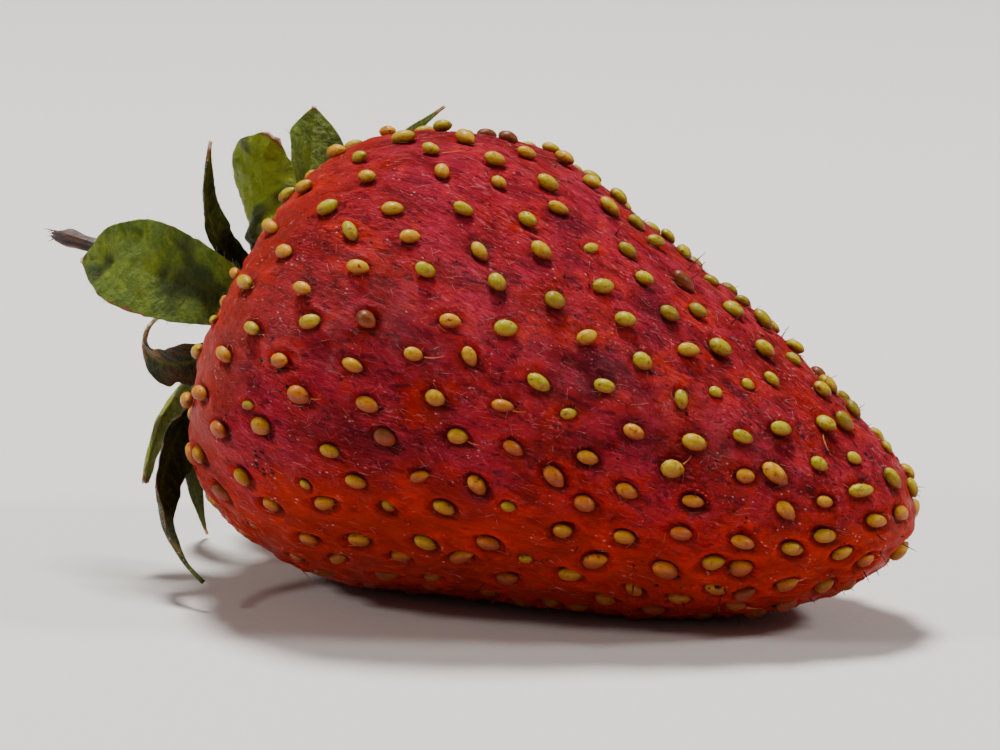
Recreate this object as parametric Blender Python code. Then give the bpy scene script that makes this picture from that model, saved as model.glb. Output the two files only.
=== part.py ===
# A ripe strawberry lying on its side, as picked: the fruit with its seeds, the calyx disc,
# six sepals, six narrow bractlets of the outer calyx and the torn end of the stalk.
# Metres, +Z up. The stalk end points to -X and the tip of the fruit to +X. The fruit rests
# on a small flat spot at Z = 0.
import bpy
import bmesh
import numpy as np
from math import cos, pi, radians, sin, sqrt
from mathutils import Vector

MM = 0.001

# The fruit: a turned body whose axis falls towards the tip
FRUIT_LENGTH = 45.0 * MM
AXIS_FALL = radians(19.0)
WIDEST_RADIUS = 15.5 * MM
WIDEST_AT = 10.5 * MM
SHOULDER_RADIUS = 8.5 * MM
DIMPLE_DEPTH = 1.5 * MM
TAPER = 0.70
TAPER_ONSET = 0.14
TIP_BLUNTNESS = 7
SECTION_WIDENING = 1.06
CENTRELINE_ARCH = 2.4 * MM
TIP_UPTURN = 1.8 * MM
FLAT_SPOT_SINK = 0.22 * MM
RINGS_AROUND = 44

# The seeds: one spiral of pips, closer together towards the tip
SEED_SPACING_WIDE = 3.6 * MM
SEED_SPACING_TIP = 2.5 * MM
SEED_SPIRAL_TURN = radians(137.508)
SEED_FRONT = 1.25 * MM
SEED_REAR = 0.95 * MM
SEED_HALF_WIDTH = 0.78 * MM
SEED_HALF_HEIGHT = 0.6 * MM
SEED_CENTRE_DEPTH = 0.22 * MM

# The calyx and the stalk, measured back from the bottom of the dimple
DISC_RADIUS = 2.2 * MM
DISC_NECK_RADIUS = 1.7 * MM
DISC_BACK = 2.0 * MM
HUB_ALONG = 0.6 * MM
LEAF_THICKNESS = 0.32 * MM
STALK_RADIUS = 0.55 * MM
STALK_LENGTH = 15.0 * MM
STALK_SAG = 1.2 * MM
GAP = 0.3 * MM

# Sepals start on the rim of the disc; bractlets start behind them, nearer the stalk
WHORLS = {
    "sepal": {"radius": 2.6 * MM, "back": 0.4 * MM},
    "bractlet": {"radius": 2.1 * MM, "back": 1.1 * MM},
}

# Blade outlines: width at the base, where it is widest, and how it runs out to the tip
BLADES = {
    "broad": {"base": 0.3, "widest": 0.55, "power": 2.2, "taper": 1.0},
    "narrow": {"base": 0.32, "widest": 0.42, "power": 1.7, "taper": 1.0},
    "tail": {"base": 0.3, "widest": 0.4, "power": 1.0, "taper": 1.4},
}

# One line of settings for each leaf. Angle: degrees around the disc from the top, turning
# towards -Y. Bend: how far the leaf leans back to the stalk, in degrees, at even steps from
# its base to its tip. Sway: sideways lean. Twist: turn of the blade about its own midline.
LEAVES = {
    "sepal_1": dict(angle=18, length=11, width=6.2, blade="broad", bend=(60, 35, 5, -20),
                    sway=(0, -20, -15), twist=(0, 60, 110), fold=8, cup=0.25),
    "sepal_2": dict(angle=72, length=15.3, width=6.3, blade="broad", bend=(35, 88, 112, 125),
                    sway=(0, 6, 18), twist=(0, 0, 0), fold=6, cup=0.1),
    "sepal_3": dict(angle=150, length=20, width=5, blade="tail", bend=(28, 5, -40, -75),
                    sway=(0, -12, -12), twist=(0, 15, 10), fold=20, cup=0.1),
    "sepal_4": dict(angle=222, length=11.5, width=5.5, blade="broad", bend=(25, 25, 22, 20),
                    sway=(0, 0, 0), twist=(0, 0, 0), fold=12, cup=0.15),
    "sepal_5": dict(angle=268, length=12.5, width=5.5, blade="broad", bend=(25, 35, 40, 40),
                    sway=(0, 0, 0), twist=(0, 0, 0), fold=12, cup=0.15),
    "sepal_6": dict(angle=330, length=13, width=6.3, blade="broad", bend=(40, 15, 22, 28),
                    sway=(0, -10, 0), twist=(0, -20, -60), fold=20, cup=0.0),
    "bractlet_1": dict(angle=38, length=12.5, width=2.5, blade="narrow", bend=(70, 42, 8, -5),
                       sway=(0, -15, -15), twist=(0, 0, 0), fold=30, cup=0.0),
    "bractlet_2": dict(angle=124, length=12, width=3.8, blade="tail", bend=(18, 42, 125, 200),
                       sway=(0, 12, 0), twist=(0, 10, 0), fold=10, cup=0.1),
    "bractlet_3": dict(angle=162, length=14, width=3.8, blade="narrow", bend=(50, 26, -4, -24),
                       sway=(0, 0, 0), twist=(0, 0, 0), fold=15, cup=0.1),
    "bractlet_4": dict(angle=195, length=18.4, width=2.8, blade="narrow", bend=(30, 24, -13, -33),
                       sway=(0, 0, 0), twist=(0, 10, 10), fold=15, cup=0.1),
    "bractlet_5": dict(angle=246, length=10, width=2.5, blade="narrow", bend=(45, 50, 55, 60),
                       sway=(0, 0, 0), twist=(0, 0, 0), fold=15, cup=0.1),
    "bractlet_6": dict(angle=300, length=21, width=2.8, blade="narrow", bend=(35, 5, -20, -25),
                       sway=(0, 5, 15), twist=(0, 0, 0), fold=15, cup=0.1),
}
LEAF_STEPS = 12
LEAF_STEPS_ACROSS = 4

COLOURS = {
    "fruit": (0.30, 0.016, 0.014),
    "disc": (0.16, 0.20, 0.05),
    "stalk": (0.17, 0.07, 0.03),
    "leaf": (0.055, 0.13, 0.018),
}

# The fruit's own directions: along its axis to the tip, sideways (+Y) and upwards
ALONG = np.array([cos(AXIS_FALL), 0.0, -sin(AXIS_FALL)])
SIDEWAYS = np.array([0.0, 1.0, 0.0])
UPWARDS = np.array([sin(AXIS_FALL), 0.0, cos(AXIS_FALL)])


def smooth_through(values, t):
    """Cubic curve through evenly spaced values, read at t from 0 to 1."""
    values = np.asarray(values, float)
    slopes = np.gradient(values)
    place = np.clip(t, 0.0, 1.0) * (len(values) - 1)
    i = np.minimum(place.astype(int), len(values) - 2)
    f = place - i
    start = (2 * f**3 - 3 * f**2 + 1) * values[i] + (f**3 - 2 * f**2 + f) * slopes[i]
    end = (-2 * f**3 + 3 * f**2) * values[i + 1] + (f**3 - f**2) * slopes[i + 1]
    return start + end


def fruit_profile(dimple_steps, shoulder_steps, taper_steps):
    """Points (along, radius) from the middle of the dimple, over the shoulder, to the tip."""
    r = np.linspace(0.0, SHOULDER_RADIUS, dimple_steps + 1)
    dimple = np.stack([DIMPLE_DEPTH * (0.5 + 0.5 * np.cos(pi * r / SHOULDER_RADIUS)), r], 1)
    a = np.linspace(0.0, pi / 2, shoulder_steps + 1)[1:]
    shoulder = np.stack([
        WIDEST_AT * (1 - np.cos(a)),
        SHOULDER_RADIUS + (WIDEST_RADIUS - SHOULDER_RADIUS) * np.sin(a),
    ], 1)
    u = np.sin(np.linspace(0.0, pi / 2, taper_steps + 1)[1:])
    narrowing = 1 - TAPER * u**2 / (u + TAPER_ONSET)
    tip = np.sqrt(np.maximum(1 - u**TIP_BLUNTNESS, 0.0))
    taper = np.stack([
        WIDEST_AT + (FRUIT_LENGTH - WIDEST_AT) * u,
        WIDEST_RADIUS * narrowing * tip,
    ], 1)
    return np.vstack([dimple, shoulder, taper])


def centreline_rise(along):
    """How far the middle of the section lies above the straight axis."""
    arch = CENTRELINE_ARCH * (1 - (1 - np.minimum(along / 0.03, 1.0)) ** 2)
    upturn = TIP_UPTURN * (np.maximum(along - 0.034, 0.0) / 0.011) ** 2
    return arch + upturn


def fruit_point(along, radius, around):
    """Point of the skin, before the fruit is set down on the ground."""
    along, radius, around = np.broadcast_arrays(along, radius, around)
    up = centreline_rise(along) + radius * np.sin(around)
    side = SECTION_WIDENING * radius * np.cos(around)
    return along[..., None] * ALONG + side[..., None] * SIDEWAYS + up[..., None] * UPWARDS


def set_down():
    """Where the middle of the calyx face goes, so that the flat spot is at Z = 0."""
    profile = fruit_profile(8, 24, 60)
    around = np.linspace(0.0, 2 * pi, 181)
    skin = fruit_point(profile[:, :1], profile[:, 1:], around[None, :])
    x = -0.5 * FRUIT_LENGTH * cos(AXIS_FALL)
    return np.array([x, 0.0, -skin[..., 2].min() - FLAT_SPOT_SINK])


def material(name, colour, roughness):
    mat = bpy.data.materials.new(name)
    mat.use_nodes = True
    shader = mat.node_tree.nodes["Principled BSDF"]
    shader.inputs["Base Color"].default_value = (*colour, 1.0)
    shader.inputs["Roughness"].default_value = roughness
    shader.inputs["Metallic"].default_value = 0.0
    return mat


def add_object(name, mesh, mat=None):
    obj = bpy.data.objects.new(name, mesh)
    bpy.context.scene.collection.objects.link(obj)
    if mat:
        mesh.materials.append(mat)
    return obj


def hide_helper(obj):
    obj.hide_render = True
    obj.display_type = "WIRE"


def turned_body(name, profile, place):
    """Spins (along, radius) points about the fruit's axis; place puts each ring's points."""
    bm = bmesh.new()
    verts = [bm.verts.new((s, 0.0, r)) for s, r in profile]
    edges = [bm.edges.new(pair) for pair in zip(verts, verts[1:])]
    bmesh.ops.spin(bm, geom=verts + edges, cent=(0, 0, 0), axis=(1, 0, 0),
                   angle=2 * pi, steps=RINGS_AROUND, use_merge=True)
    bmesh.ops.remove_doubles(bm, verts=bm.verts, dist=1e-6)
    points = np.array([v.co for v in bm.verts])
    radius = np.hypot(points[:, 1], points[:, 2])
    around = np.arctan2(points[:, 2], points[:, 1])
    for vert, co in zip(bm.verts, place(points[:, 0], radius, around)):
        vert.co = co
    bmesh.ops.recalc_face_normals(bm, faces=bm.faces)
    mesh = bpy.data.meshes.new(name)
    bm.to_mesh(mesh)
    bm.free()
    mesh.shade_smooth()
    return mesh


def seed_places():
    """(along, radius, around) of each seed: a spiral with the spacing as its step in area."""
    profile = fruit_profile(12, 24, 90)
    step = np.hypot(*np.diff(profile, axis=0).T)
    ring = 0.5 * (profile[1:, 1] + profile[:-1, 1])
    middle = 0.5 * (profile[1:, 0] + profile[:-1, 0])
    spacing = SEED_SPACING_WIDE + (SEED_SPACING_TIP - SEED_SPACING_WIDE) * (
        np.clip(middle / FRUIT_LENGTH, 0.0, 1.0) ** 2)
    seeds = np.append(0.0, np.cumsum(2 * pi * ring * step / (0.5 * sqrt(3.0) * spacing**2)))
    travelled = np.append(0.0, np.cumsum(step))
    leaves_cover = np.interp(6.5 * MM, profile[:13, 1], seeds[:13])
    number = np.arange(int(leaves_cover) + 1, int(seeds[-1]) + 1) - 0.5
    way = np.interp(number, seeds, travelled)
    along = np.interp(way, travelled, profile[:, 0])
    radius = np.interp(way, travelled, profile[:, 1])
    return along, radius, number * SEED_SPIRAL_TURN


def add_seeds(origin):
    """One helper mesh of all seeds: four-sided pips with their points towards the tip."""
    along, radius, around = seed_places()
    centre = fruit_point(along, radius, around)
    small = 1e-5
    ahead = fruit_point(along, radius, around + small) - centre
    profile = fruit_profile(12, 24, 90)
    way = np.append(0.0, np.cumsum(np.hypot(*np.diff(profile, axis=0).T)))
    bm = bmesh.new()
    for i in range(len(along)):
        nearest = np.argmin(np.hypot(profile[:, 0] - along[i], profile[:, 1] - radius[i]))
        low, high = max(nearest - 1, 0), min(nearest + 1, len(way) - 1)
        start = fruit_point(*profile[low], around[i])
        end = fruit_point(*profile[high], around[i])
        forward = Vector(end - start).normalized()
        across = Vector(ahead[i]).normalized()
        outward = forward.cross(across).normalized()
        if outward.dot(Vector(centre[i] - (along[i] * ALONG))) < 0:
            outward.negate()
        if nearest < 12:
            outward = Vector(-ALONG)
        across = outward.cross(forward).normalized()
        forward = across.cross(outward).normalized()
        middle = Vector(centre[i] + origin) - outward * SEED_CENTRE_DEPTH
        tip = bm.verts.new(middle + forward * SEED_FRONT)
        left = bm.verts.new(middle + across * SEED_HALF_WIDTH)
        rear = bm.verts.new(middle - forward * SEED_REAR)
        right = bm.verts.new(middle - across * SEED_HALF_WIDTH)
        top = bm.verts.new(middle + outward * SEED_HALF_HEIGHT)
        bottom = bm.verts.new(middle - outward * SEED_HALF_HEIGHT)
        ring = [tip, left, rear, right]
        for a, b in zip(ring, ring[1:] + ring[:1]):
            bm.faces.new((a, b, top))
            bm.faces.new((b, a, bottom))
    bmesh.ops.recalc_face_normals(bm, faces=bm.faces)
    mesh = bpy.data.meshes.new("seeds_helper")
    bm.to_mesh(mesh)
    bm.free()
    obj = add_object("seeds_helper", mesh)
    hide_helper(obj)
    return obj


def add_ground_cutter():
    mesh = bpy.data.meshes.new("ground_cutter")
    bm = bmesh.new()
    bmesh.ops.create_cube(bm, size=1.0)
    bmesh.ops.scale(bm, vec=(0.08, 0.05, 0.01), verts=bm.verts)
    bmesh.ops.translate(bm, vec=(0.0, 0.0, -0.005), verts=bm.verts)
    bm.to_mesh(mesh)
    bm.free()
    obj = add_object("ground_cutter", mesh)
    hide_helper(obj)
    return obj


def add_fruit(origin):
    mesh = turned_body("fruit", fruit_profile(3, 7, 17),
                       lambda s, r, a: fruit_point(s, r, a) + origin)
    fruit = add_object("fruit", mesh, material("fruit_flesh", COLOURS["fruit"], 0.35))
    union = fruit.modifiers.new("seeds", "BOOLEAN")
    union.operation = "UNION"
    union.solver = "EXACT"
    union.object = add_seeds(origin)
    cut = fruit.modifiers.new("flat spot", "BOOLEAN")
    cut.operation = "DIFFERENCE"
    cut.solver = "EXACT"
    cut.object = add_ground_cutter()
    return fruit


def add_calyx_disc(hub):
    """A low cone that fills the dimple and narrows to the stalk behind it."""
    clear = DIMPLE_DEPTH - HUB_ALONG - GAP
    profile = [
        (clear, 0.0), (clear, 0.6 * DISC_RADIUS), (0.0, DISC_RADIUS),
        (-0.6 * MM, DISC_RADIUS), (-0.9 * MM, DISC_NECK_RADIUS),
        (-1.6 * MM, DISC_NECK_RADIUS), (-DISC_BACK, 1.4 * STALK_RADIUS), (-DISC_BACK, 0.0),
    ]
    mesh = turned_body("calyx_disc", profile, lambda s, r, a: hub + s[:, None] * ALONG
                       + (r * np.cos(a))[:, None] * SIDEWAYS + (r * np.sin(a))[:, None] * UPWARDS)
    return add_object("calyx_disc", mesh, material("calyx_green", COLOURS["disc"], 0.6))


def add_stalk(hub):
    """The torn end of the stalk: a bevelled curve that leaves the disc straight back."""
    curve = bpy.data.curves.new("stalk", "CURVE")
    curve.dimensions = "3D"
    curve.bevel_depth = STALK_RADIUS
    curve.bevel_resolution = 2
    curve.use_fill_caps = True
    spline = curve.splines.new("POLY")
    t = np.linspace(0.0, 1.0, 9)
    back = DISC_BACK + GAP + STALK_LENGTH * t
    sag = -STALK_SAG * t**2
    points = hub - back[:, None] * ALONG + sag[:, None] * UPWARDS
    spline.points.add(len(points) - 1)
    for point, co, f in zip(spline.points, points, t):
        point.co = (*co, 1.0)
        point.radius = 1.0 - 0.15 * f
    return add_object("stalk", curve, material("stalk_skin", COLOURS["stalk"], 0.6))


def leaf_surface(kind, leaf, hub, steps, steps_across):
    """Grid of points: a midline that bends, sways and twists, and a folded, cupped blade."""
    angle = radians(leaf["angle"])
    outward = cos(angle) * UPWARDS - sin(angle) * SIDEWAYS
    tangent = -sin(angle) * UPWARDS - cos(angle) * SIDEWAYS
    t = np.linspace(0.0, 1.0, steps + 1)
    bend = np.radians(smooth_through(leaf["bend"], t))[:, None]
    sway = np.radians(smooth_through(leaf["sway"], t))[:, None]
    twist = np.radians(smooth_through(leaf["twist"], t))[:, None]
    lean = np.cos(bend) * outward - np.sin(bend) * ALONG
    direction = np.cos(sway) * lean + np.sin(sway) * tangent
    side = -np.sin(sway) * lean + np.cos(sway) * tangent
    normal = np.cross(direction, side)
    across = np.cos(twist) * side + np.sin(twist) * normal
    face = -np.sin(twist) * side + np.cos(twist) * normal
    start = hub + outward * WHORLS[kind]["radius"] - ALONG * WHORLS[kind]["back"]
    step = leaf["length"] * MM / steps * 0.5 * (direction[1:] + direction[:-1])
    midline = start + np.vstack([np.zeros(3), np.cumsum(step, axis=0)])
    blade = BLADES[leaf["blade"]]
    rising = np.sin(0.5 * pi * np.minimum(t / blade["widest"], 1.0))
    running_out = np.clip((t - blade["widest"]) / (1 - blade["widest"]), 0.0, 1.0)
    outline = (blade["base"] + (1 - blade["base"]) * rising) * (
        1 - running_out ** blade["power"]) ** blade["taper"]
    half = 0.5 * leaf["width"] * MM * np.maximum(outline, 0.06)
    h = np.linspace(-1.0, 1.0, steps_across + 1)
    crease = np.sqrt(h**2 + 0.02) - sqrt(0.02)
    fold = radians(leaf["fold"])
    x = half[:, None] * h * cos(fold)
    z = half[:, None] * (crease * sin(fold) + leaf["cup"] * h**2)
    return midline[:, None] + x[..., None] * across[:, None] + z[..., None] * face[:, None]


def add_leaf(name, leaf, hub):
    points = leaf_surface(name.split("_")[0], leaf, hub, LEAF_STEPS, LEAF_STEPS_ACROSS)
    rows, columns = points.shape[:2]
    bm = bmesh.new()
    grid = [[bm.verts.new(points[i, j]) for j in range(columns)] for i in range(rows)]
    for i in range(rows - 1):
        for j in range(columns - 1):
            bm.faces.new((grid[i][j], grid[i][j + 1], grid[i + 1][j + 1], grid[i + 1][j]))
    mesh = bpy.data.meshes.new(name)
    bm.to_mesh(mesh)
    bm.free()
    mesh.shade_smooth()
    obj = add_object(name, mesh, material(name + "_green", COLOURS["leaf"], 0.55))
    solid = obj.modifiers.new("thickness", "SOLIDIFY")
    solid.thickness = LEAF_THICKNESS
    solid.offset = 0.0
    return obj


def centre_on_ground():
    """Moves everything so that the origin lies under the middle of the whole strawberry."""
    depsgraph = bpy.context.evaluated_depsgraph_get()
    points = []
    for obj in bpy.data.objects:
        if not obj.hide_render:
            solid = obj.evaluated_get(depsgraph)
            points += [tuple(vert.co) for vert in solid.to_mesh().vertices]
            solid.to_mesh_clear()
    points = np.array(points)
    middle = 0.5 * (points.min(axis=0) + points.max(axis=0))
    for obj in bpy.data.objects:
        obj.location = (-middle[0], -middle[1], 0.0)


def main():
    for obj in list(bpy.data.objects):
        bpy.data.objects.remove(obj, do_unlink=True)
    origin = set_down()
    hub = origin + HUB_ALONG * ALONG
    add_fruit(origin)
    add_calyx_disc(hub)
    add_stalk(hub)
    for name, leaf in LEAVES.items():
        add_leaf(name, leaf, hub)
    centre_on_ground()


main()
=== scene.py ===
from itertools import product
from math import cos, pi, radians, sin, sqrt, tau

import bpy
import numpy as np
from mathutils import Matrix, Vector


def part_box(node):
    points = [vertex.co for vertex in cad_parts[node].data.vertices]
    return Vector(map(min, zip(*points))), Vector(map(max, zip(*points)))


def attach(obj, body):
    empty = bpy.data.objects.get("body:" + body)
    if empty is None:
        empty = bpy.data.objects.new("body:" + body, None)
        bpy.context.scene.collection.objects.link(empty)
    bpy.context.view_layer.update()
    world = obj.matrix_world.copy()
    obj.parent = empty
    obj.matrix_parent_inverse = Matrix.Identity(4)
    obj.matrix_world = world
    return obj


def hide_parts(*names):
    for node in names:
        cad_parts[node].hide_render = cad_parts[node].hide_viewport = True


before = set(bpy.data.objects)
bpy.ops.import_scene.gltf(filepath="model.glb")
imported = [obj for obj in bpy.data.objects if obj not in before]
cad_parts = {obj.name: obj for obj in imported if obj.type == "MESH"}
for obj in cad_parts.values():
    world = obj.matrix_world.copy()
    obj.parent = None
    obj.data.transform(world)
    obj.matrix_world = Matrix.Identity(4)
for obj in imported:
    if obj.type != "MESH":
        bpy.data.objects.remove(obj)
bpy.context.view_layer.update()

# A ripe strawberry lying on its side on a pale table. Lengths are in millimetres until
# makePiece and the camera turn them into metres.
mm = 0.001

fruitShape = {
    "length": 45.0, "axisFall": 19.0,
    "widestRadius": 15.5, "widestAt": 10.5, "shoulderRadius": 8.5, "dimpleDepth": 1.5,
    "taper": 0.70, "taperOnset": 0.14, "tipBluntness": 7, "sectionWidening": 1.06,
    "arch": 2.4, "archEnds": 30.0, "upturn": 1.8, "upturnStarts": 34.0,
}

# The fruit's own directions: along its axis to the tip, sideways and upwards
fall = radians(fruitShape["axisFall"])
along = np.array([cos(fall), 0.0, -sin(fall)])
sideways = np.array([0.0, 1.0, 0.0])
upwards = np.array([sin(fall), 0.0, cos(fall)])


def unit(vectors):
    # Each vector divided by its own length
    return vectors / np.linalg.norm(vectors, axis=-1, keepdims=True)


def rise(value, low, high):
    # 0 below low, 1 above high, and 3f² - 2f³ of the way f between them
    f = np.clip((value - low) / (high - low), 0.0, 1.0)
    return f * f * (3.0 - 2.0 * f)


def lumpy(points, size, seed):
    # Random values from -1 to 1 at the corners of cubes of this size, blended inside
    # each cube by 3f² - 2f³ in each direction. They repeat after 37 cubes
    cubes = 37
    corners = np.random.default_rng(seed).uniform(-1.0, 1.0, (cubes, cubes, cubes))
    place = np.asarray(points) / size
    cell = np.floor(place).astype(int)
    f = place - cell
    f = f * f * (3.0 - 2.0 * f)
    total = 0.0
    for corner in product((0, 1), repeat=3):
        share = np.prod(np.where(corner, f, 1.0 - f), axis=-1)
        i, j, k = np.moveaxis((cell + corner) % cubes, -1, 0)
        total = total + share * corners[i, j, k]
    return total


def through(values, t):
    # Cubic curve through evenly spaced values, with slopes from their neighbours
    values = np.asarray(values, float)
    slopes = np.gradient(values)
    place = np.clip(t, 0.0, 1.0) * (len(values) - 1)
    i = np.minimum(place.astype(int), len(values) - 2)
    f = place - i
    start = (2 * f**3 - 3 * f**2 + 1) * values[i] + (f**3 - 2 * f**2 + f) * slopes[i]
    end = (-2 * f**3 + 3 * f**2) * values[i + 1] + (f**3 - f**2) * slopes[i + 1]
    return start + end


def spindleFaces(rings, sides):
    # Faces of a closed body: an end point, rings of points, and the other end point
    i = np.arange(rings - 1)[:, None] * sides + 1
    j = np.arange(sides)[None, :]
    k = (j + 1) % sides
    quads = np.stack([i + j, i + k, i + sides + k, i + sides + j], -1).reshape(-1, 4)
    j, k = j[0], k[0]
    last = 1 + (rings - 1) * sides
    near = np.stack([0 * j, 1 + k, 1 + j], -1)
    far = np.stack([0 * j + last + sides, last + j, last + k], -1)
    return quads, np.vstack([near, far])


def aboveTable(points, least=0.005):
    # Points lower than this, in millimetres, are raised to it
    points[..., 2] = np.maximum(points[..., 2], least)
    return points


def makePiece(name, points, rings, sides, finish, values=None, standsFor=None):
    # One mesh of one or more closed bodies, each with its points in the order of
    # spindleFaces. The faces are turned over if the volume inside comes out negative
    copies, each = points.shape[:2]
    quads, fans = spindleFaces(rings, sides)
    offset = np.arange(copies)[:, None, None] * each
    quads = (quads + offset).reshape(-1, 4)
    fans = (fans + offset).reshape(-1, 3)
    points = points.reshape(-1, 3) * mm
    triangles = np.vstack([quads[:, :3], quads[:, [0, 2, 3]], fans])
    a, b, c = (points[triangles[:, n]] for n in range(3))
    if np.sum(a * np.cross(b, c)) < 0.0:
        quads, fans = quads[:, ::-1], fans[:, ::-1]
    loops = np.concatenate([quads.ravel(), fans.ravel()])
    starts = np.concatenate([np.arange(len(quads)) * 4,
                             len(quads) * 4 + np.arange(len(fans)) * 3])
    mesh = bpy.data.meshes.new(name)
    mesh.vertices.add(len(points))
    mesh.vertices.foreach_set("co", points.ravel())
    mesh.loops.add(len(loops))
    mesh.loops.foreach_set("vertex_index", loops)
    mesh.polygons.add(len(starts))
    mesh.polygons.foreach_set("loop_start", starts)
    mesh.update(calc_edges=True)
    mesh.shade_smooth()
    for label, value in (values or {}).items():
        layer = mesh.attributes.new(label, "FLOAT", "POINT")
        layer.data.foreach_set("value", np.broadcast_to(value, (copies, each)).ravel())
    mesh.materials.append(finish)
    piece = bpy.data.objects.new(name, mesh)
    bpy.context.scene.collection.objects.link(piece)
    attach(piece, "root")
    if standsFor:
        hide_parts(standsFor)
    print(f"made {name}: {len(triangles)} triangles")
    return piece


def closedEnds(ringPoints):
    # Adds the middle of the first and of the last ring as the end points.
    # ringPoints: copies, rings, sides, 3
    copies = len(ringPoints)
    near = ringPoints[:, 0].mean(axis=1, keepdims=True)
    far = ringPoints[:, -1].mean(axis=1, keepdims=True)
    return np.concatenate([near, ringPoints.reshape(copies, -1, 3), far], axis=1)


def withEnds(ringValues):
    # The same for a value on each point: the end points take their ring's mean
    copies = len(ringValues)
    near = ringValues[:, 0].mean(axis=1, keepdims=True)
    far = ringValues[:, -1].mean(axis=1, keepdims=True)
    return np.concatenate([near, ringValues.reshape(copies, -1), far], axis=1)


def addNode(tree, kind, inputs=None, **settings):
    # A shader node. An input that is a socket is linked, any other value is set
    node = tree.nodes.new("ShaderNode" + kind)
    for key, value in settings.items():
        setattr(node, key, value)
    for key, value in (inputs or {}).items():
        if isinstance(value, bpy.types.NodeSocket):
            tree.links.new(value, node.inputs[key])
        else:
            node.inputs[key].default_value = value
    return node


def mixColours(tree, share, first, second):
    # first + share (second - first)
    pair = [c if isinstance(c, bpy.types.NodeSocket) else (*c, 1.0)
            for c in (first, second)]
    node = addNode(tree, "Mix", {0: share, 6: pair[0], 7: pair[1]}, data_type="RGBA")
    return node.outputs[2]


def mathNode(tree, operation, first, second=0.0, third=0.0, clamp=False):
    # One sum, named as Blender names it
    return addNode(tree, "Math", {0: first, 1: second, 2: third}, operation=operation,
                   use_clamp=clamp).outputs[0]


def times(tree, first, second):
    # first × second
    return mathNode(tree, "MULTIPLY", first, second)


def plus(tree, first, second):
    # first + second
    return mathNode(tree, "ADD", first, second)


def scaled(tree, value, factor, start):
    # start + factor × value
    return mathNode(tree, "MULTIPLY_ADD", value, factor, start)


def between(tree, value, low, high, start=0.0, end=1.0):
    # start below low, end above high, and a soft step from one to the other
    node = addNode(tree, "MapRange", {"Value": value, "From Min": low, "From Max": high,
                                      "To Min": start, "To Max": end},
                   interpolation_type="SMOOTHSTEP")
    return node.outputs["Result"]


def noiseNode(tree, place, scale, detail=4.0, roughness=0.6, distortion=0.0):
    # Cloudy noise from 0 to 1, scale lumps to a millimetre
    node = addNode(tree, "TexNoise", {"Vector": place, "Scale": scale, "Detail": detail,
                                      "Roughness": roughness, "Distortion": distortion})
    return node.outputs[0]


def attribute(tree, name):
    # A value that the mesh holds on its points
    return addNode(tree, "Attribute", attribute_name=name).outputs["Fac"]


def newFinish(name, settings):
    # A material with its constant values on the shader's own sockets, and its place in
    # millimetres with x along the fruit
    finish = bpy.data.materials.new(name)
    finish.use_nodes = True
    tree = finish.node_tree
    shader = tree.nodes["Principled BSDF"]
    for key, value in settings.items():
        shader.inputs[key].default_value = value
    coords = addNode(tree, "TexCoord").outputs["Object"]
    inMm = addNode(tree, "Mapping", {"Vector": coords, "Scale": (1.0 / mm,) * 3,
                                     "Rotation": (0.0, -fall, 0.0)}).outputs[0]
    return finish, tree, shader, inMm


def stretched(tree, place, scale):
    # The place times a scale for each direction, so that a pattern on it is drawn out
    return addNode(tree, "Mapping", {"Vector": place, "Scale": scale}).outputs[0]


def bumpNode(tree, height, depth):
    # Relief on the surface, depth millimetres for a height of 1
    inputs = {"Height": height, "Distance": depth * mm, "Strength": 1.0}
    return addNode(tree, "Bump", inputs).outputs[0]


def fruitProfile(dimpleSteps, shoulderSteps, taperSteps):
    # (along, radius) from the middle of the dimple to the tip. Dimple: half a cosine wave.
    # Shoulder: a quarter ellipse. Taper: radius times 1 - taper u² / (u + onset) times
    # sqrt(1 - u^bluntness), with u from 0 at the widest ring to 1 at the tip
    f = fruitShape
    r = np.linspace(0.0, f["shoulderRadius"], dimpleSteps + 1)
    wave = 0.5 + 0.5 * np.cos(pi * r / f["shoulderRadius"])
    dimple = np.stack([f["dimpleDepth"] * wave, r], 1)
    a = np.linspace(0.0, pi / 2, shoulderSteps + 1)[1:]
    shoulder = np.stack([
        f["widestAt"] * (1 - np.cos(a)),
        f["shoulderRadius"] + (f["widestRadius"] - f["shoulderRadius"]) * np.sin(a)], 1)
    u = np.sin(np.linspace(0.0, pi / 2, taperSteps + 1)[1:])
    radius = f["widestRadius"] * (1 - f["taper"] * u**2 / (u + f["taperOnset"]))
    taper = np.stack([
        f["widestAt"] + (f["length"] - f["widestAt"]) * u,
        radius * np.sqrt(np.maximum(1 - u ** f["tipBluntness"], 0.0))], 1)
    return np.vstack([dimple, shoulder, taper])


def skinPoint(s, radius, around):
    # Along the axis by s, out by radius at the angle around, and up by the rise of the
    # centreline: an arch over the first part and an upturn at the tip
    f = fruitShape
    lift = f["arch"] * (1 - (1 - np.minimum(s / f["archEnds"], 1.0)) ** 2)
    lift = lift + f["upturn"] * (np.maximum(s - f["upturnStarts"], 0.0)
                                 / (f["length"] - f["upturnStarts"])) ** 2
    side = f["sectionWidening"] * radius * np.cos(around)
    up = lift + radius * np.sin(around)
    s, side, up = np.broadcast_arrays(s, side, up)
    return (origin + s[..., None] * along + side[..., None] * sideways
            + up[..., None] * upwards)


calyxShape = {
    "discRadius": 2.2, "neckRadius": 1.7, "discBack": 2.0, "hubAlong": 0.6, "gap": 0.3,
    "stalkRadius": 0.55, "stalkLength": 15.0, "stalkSag": 1.2,
}


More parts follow.
